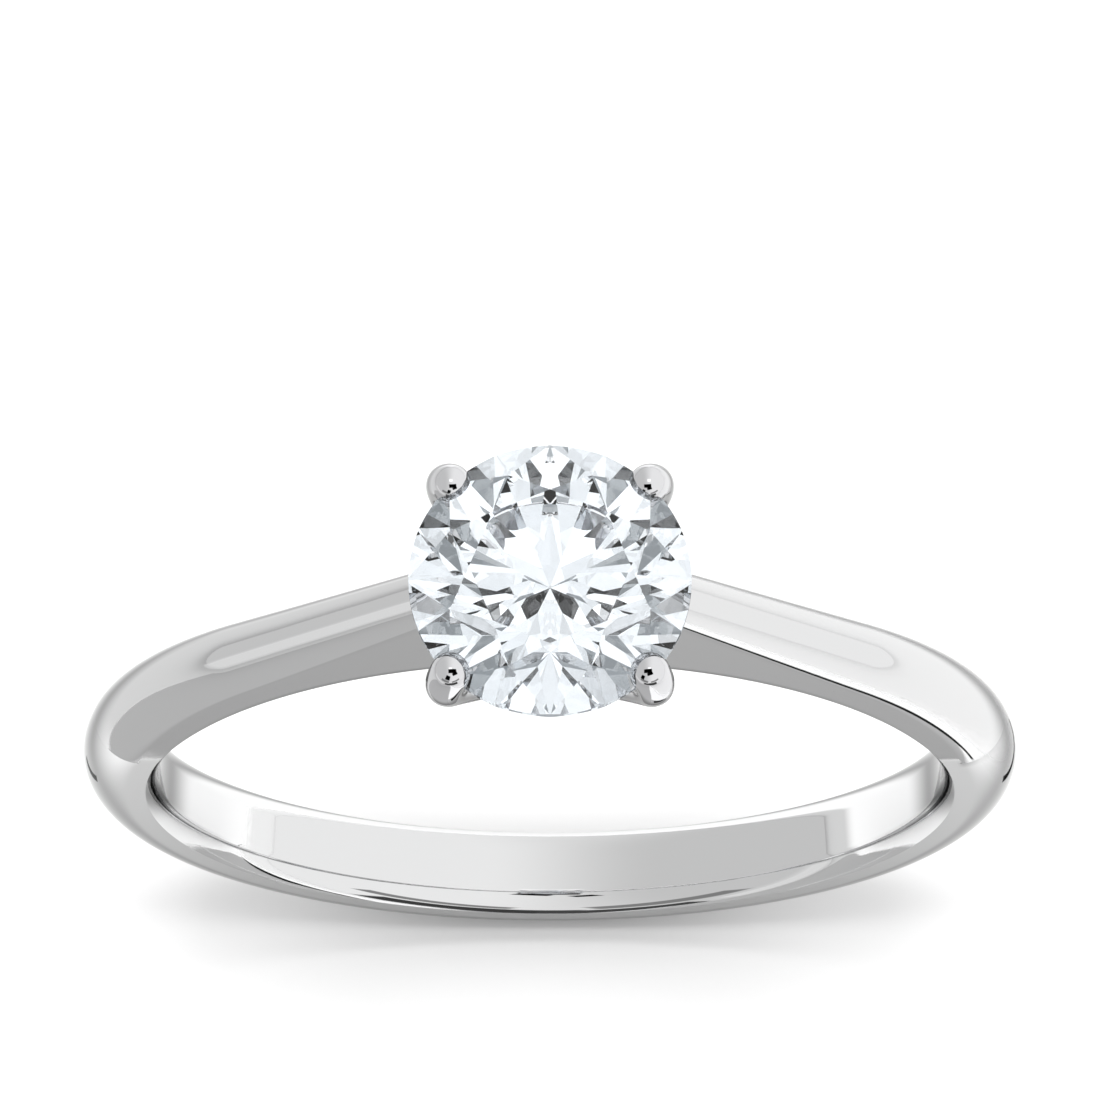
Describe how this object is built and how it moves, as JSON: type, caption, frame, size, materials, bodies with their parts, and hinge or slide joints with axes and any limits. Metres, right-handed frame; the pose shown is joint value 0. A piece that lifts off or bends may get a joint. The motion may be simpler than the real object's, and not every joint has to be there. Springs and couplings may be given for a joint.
{
  "type": "engagement ring",
  "caption": "Solitaire engagement ring: half-round band with rising tapered shoulders and a pronged basket head holding a round brilliant stone.",
  "frame": {"origin": "centre of the finger bore, midway along its length", "axes": "+Z from the finger bore to the stone, Y along the finger (the bore's axis), X across the band from shoulder to shoulder"},
  "size_m": [0.0196, 0.0058, 0.0223],
  "materials": {
    "polished_metal": "mirror-polished white gold",
    "head_metal": "mirror-polished white gold",
    "stone": "clear, colourless, cut and polished"
  },
  "bodies": {
    "root": {"shank": "polished_metal", "shoulder_left": "polished_metal", "shoulder_right": "polished_metal", "head_base": "head_metal", "gallery_rail": "head_metal", "prong_front_left": "head_metal", "prong_front_right": "head_metal", "prong_back_left": "head_metal", "prong_back_right": "head_metal", "diamond": "stone"}
  },
  "joints": []
}
